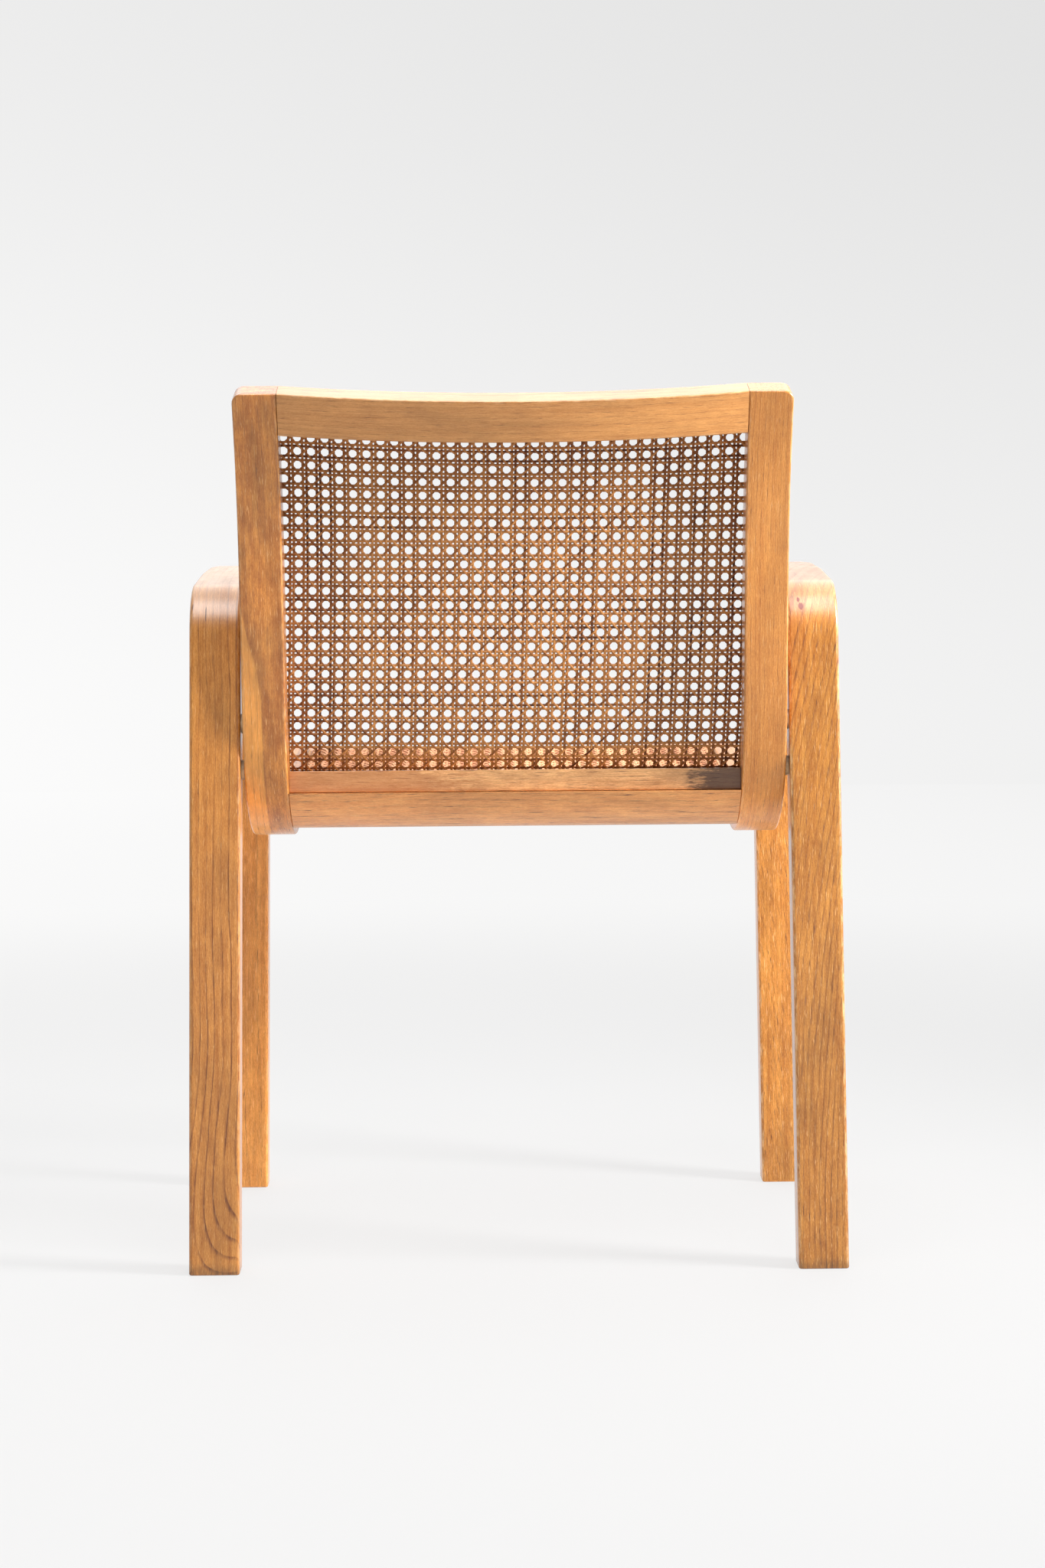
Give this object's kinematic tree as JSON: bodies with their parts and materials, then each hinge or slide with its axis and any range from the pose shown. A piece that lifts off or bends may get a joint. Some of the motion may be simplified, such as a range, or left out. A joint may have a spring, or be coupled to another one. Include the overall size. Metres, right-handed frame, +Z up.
{
  "type": "cane armchair",
  "caption": "Armchair of bent laminated ash with a woven cane seat and back between two L-shaped members, held by side loops that are leg, arm and leg in one strip.",
  "frame": {"origin": "floor level under the middle of the chair's overall box", "axes": "+Z up, -Y the way the sitter faces, +X towards the sitter's left"},
  "size_m": [0.626, 0.525, 0.7969],
  "materials": {
    "loop_wood": "clear satin lacquer on ash laminations, open grain, worn edges",
    "member_wood": "clear satin lacquer on ash laminations",
    "rail_wood": "clear satin lacquer on solid ash",
    "cane": "woven rattan cane, aged and slightly glossy",
    "spline": "round reed pressed into a glued groove",
    "dowel": "plain beech, unfinished",
    "washer": "plain pale nylon",
    "insert": "turned, unpolished",
    "bolt": "dull zinc plate"
  },
  "bodies": {
    "root": {"side_loop_left": "loop_wood", "side_loop_right": "loop_wood", "seat_back_member_left": "member_wood", "seat_back_member_right": "member_wood", "top_rail": "rail_wood", "lower_back_rail": "rail_wood", "rear_seat_rail": "rail_wood", "front_seat_rail": "rail_wood", "back_cane": "cane", "seat_cane": "cane", "back_spline_top": "spline", "back_spline_bottom": "spline", "back_spline_left": "spline", "back_spline_right": "spline", "seat_spline_front": "spline", "seat_spline_rear": "spline", "seat_spline_left": "spline", "seat_spline_right": "spline", "dowel_top_rail_1_left": "dowel", "dowel_top_rail_1_right": "dowel", "dowel_top_rail_2_left": "dowel", "dowel_top_rail_2_right": "dowel", "dowel_lower_back_rail_3_left": "dowel", "dowel_lower_back_rail_3_right": "dowel", "dowel_rear_seat_rail_4_left": "dowel", "dowel_rear_seat_rail_4_right": "dowel", "dowel_rear_seat_rail_5_left": "dowel", "dowel_rear_seat_rail_5_right": "dowel", "dowel_front_seat_rail_6_left": "dowel", "dowel_front_seat_rail_6_right": "dowel", "dowel_front_seat_rail_7_left": "dowel", "dowel_front_seat_rail_7_right": "dowel", "spacer_rear_lower_left": "washer", "spacer_rear_lower_right": "washer", "spacer_rear_upper_left": "washer", "spacer_rear_upper_right": "washer", "spacer_front_left": "member_wood", "spacer_front_right": "member_wood", "insert_rear_lower_left": "insert", "insert_rear_lower_right": "insert", "insert_rear_upper_left": "insert", "insert_rear_upper_right": "insert", "insert_front_left": "insert", "insert_front_right": "insert", "bolt_rear_lower_left": "bolt", "bolt_rear_lower_right": "bolt", "bolt_rear_upper_left": "bolt", "bolt_rear_upper_right": "bolt", "bolt_front_left": "bolt", "bolt_front_right": "bolt"}
  },
  "joints": []
}
